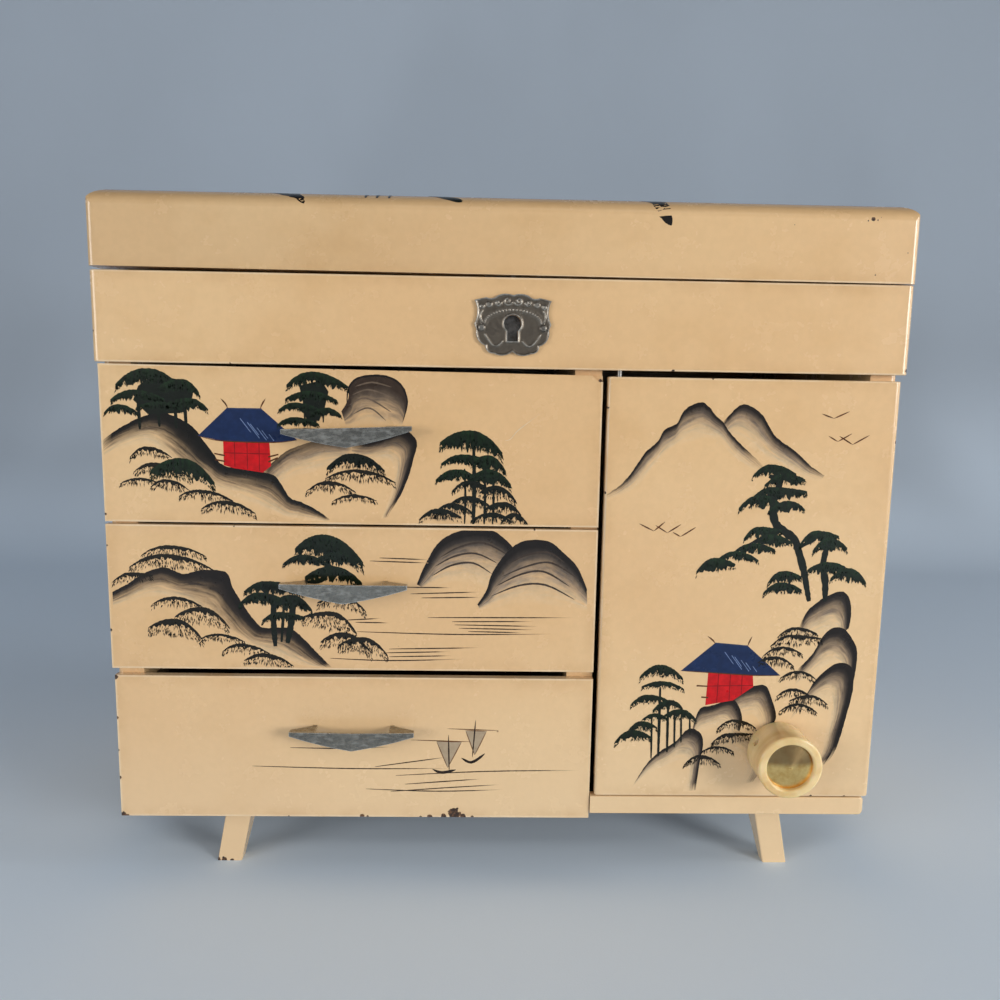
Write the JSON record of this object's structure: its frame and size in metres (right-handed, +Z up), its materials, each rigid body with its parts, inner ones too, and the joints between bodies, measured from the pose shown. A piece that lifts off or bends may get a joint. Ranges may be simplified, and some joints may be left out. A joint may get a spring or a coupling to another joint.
{
  "type": "tabletop jewellery chest",
  "caption": "Small cream-lacquered Japanese-style jewellery chest with a hinged lid over a lined tray, side-by-side drawers and door, splayed legs and painted ink landscape.",
  "frame": {"origin": "on the ground under the middle of the object's bounding box, feet at z = 0", "axes": "+Z up, the front with the drawers and door faces -Y, +X to the viewer's right"},
  "size_m": [0.2924, 0.1716, 0.2543],
  "materials": {
    "lacquer_case": "aged cream lacquer, satin",
    "lacquer_lid": "aged cream lacquer, satin, with a painted landscape on top",
    "lacquer_upper": "aged cream lacquer, satin",
    "lacquer_drawer_top": "aged cream lacquer with an ink landscape",
    "lacquer_drawer_middle": "aged cream lacquer with an ink landscape",
    "lacquer_drawer_bottom": "aged cream lacquer with an ink seascape, chipped along its lower edge",
    "lacquer_door": "aged cream lacquer with an ink landscape",
    "black_lacquer": "black lacquer, satin",
    "drawer_wood": "thin boards stained black",
    "velvet": "deep red velvet",
    "mirror_glass": "bevelled mirror",
    "hinge_brass": "tarnished brass",
    "steel": "plain steel, dulled",
    "antique_metal": "dark antiqued metal with worn relief",
    "pull_metal": "worn grey metal with bright edges",
    "knob_plastic": "translucent cream plastic, aged",
    "knob_brass": "turned brass"
  },
  "bodies": {
    "case": {"side_left": "lacquer_case", "side_right": "lacquer_case", "back_panel": "lacquer_case", "bottom_board": "black_lacquer", "partition": "lacquer_case", "tray_floor": "black_lacquer", "tray_lining": "velvet", "drawer_runners": "black_lacquer", "upper_front": "lacquer_upper", "sill_strip": "lacquer_case", "leg_front_left": "lacquer_case", "leg_front_right": "lacquer_case", "leg_rear_left": "lacquer_case", "leg_rear_right": "lacquer_case", "leg_screws": "steel", "hinge_case_leaves": "hinge_brass", "hinge_pins": "hinge_brass", "hinge_case_screws": "hinge_brass", "lock_case": "steel", "escutcheon": "antique_metal", "escutcheon_nails": "antique_metal"},
    "lid": {"lid_panel": "lacquer_lid", "lid_front_rail": "lacquer_lid", "lid_back_rail": "lacquer_lid", "lid_left_rail": "lacquer_lid", "lid_right_rail": "lacquer_lid", "lid_mirror": "mirror_glass", "hinge_lid_leaves": "hinge_brass", "hinge_lid_screws": "hinge_brass", "lock_strike": "steel"},
    "lock_bolt": {"lock_bolt": "steel"},
    "door": {"door_panel": "lacquer_door", "door_pivot_pins": "steel", "spindle_bush": "steel"},
    "knob": {"knob_body": "knob_plastic", "knob_insert": "knob_brass", "knob_grub_screw": "steel", "knob_spindle": "steel", "latch_tongue": "steel"},
    "drawer_top": {"drawer_top_front": "lacquer_drawer_top", "drawer_top_side_left": "drawer_wood", "drawer_top_side_right": "drawer_wood", "drawer_top_back": "drawer_wood", "drawer_top_base": "drawer_wood", "drawer_top_lining": "velvet", "drawer_top_pull": "pull_metal"},
    "drawer_middle": {"drawer_middle_front": "lacquer_drawer_middle", "drawer_middle_side_left": "drawer_wood", "drawer_middle_side_right": "drawer_wood", "drawer_middle_back": "drawer_wood", "drawer_middle_base": "drawer_wood", "drawer_middle_lining": "velvet", "drawer_middle_pull": "pull_metal"},
    "drawer_bottom": {"drawer_bottom_front": "lacquer_drawer_bottom", "drawer_bottom_side_left": "drawer_wood", "drawer_bottom_side_right": "drawer_wood", "drawer_bottom_back": "drawer_wood", "drawer_bottom_base": "drawer_wood", "drawer_bottom_lining": "velvet", "drawer_bottom_pull": "pull_metal"}
  },
  "joints": [
    {"name": "lid_hinge", "type": "hinge", "parent": "case", "child": "lid", "pos_m": [0, 0.08176, 0.2269], "axis": [-1, 0, 0], "range_deg": [0, 100]},
    {"name": "lock_bolt_slide", "type": "slide", "parent": "case", "child": "lock_bolt", "axis": [1, 0, 0], "range_m": [0, 0.0038]},
    {"name": "door_hinge", "type": "hinge", "parent": "case", "child": "door", "pos_m": [0.0415, -0.06809, 0.112], "axis": [0, 0, 1], "range_deg": [-135, 0]},
    {"name": "knob_turn", "type": "hinge", "parent": "door", "child": "knob", "pos_m": [0.107, -0.07004, 0.0512], "axis": [0, 1, 0], "range_deg": [0, 90]},
    {"name": "drawer_top_slide", "type": "slide", "parent": "case", "child": "drawer_top", "axis": [0, -1, 0], "range_m": [0, 0.11]},
    {"name": "drawer_middle_slide", "type": "slide", "parent": "case", "child": "drawer_middle", "axis": [0, -1, 0], "range_m": [0, 0.11]},
    {"name": "drawer_bottom_slide", "type": "slide", "parent": "case", "child": "drawer_bottom", "axis": [0, -1, 0], "range_m": [0, 0.11]}
  ]
}
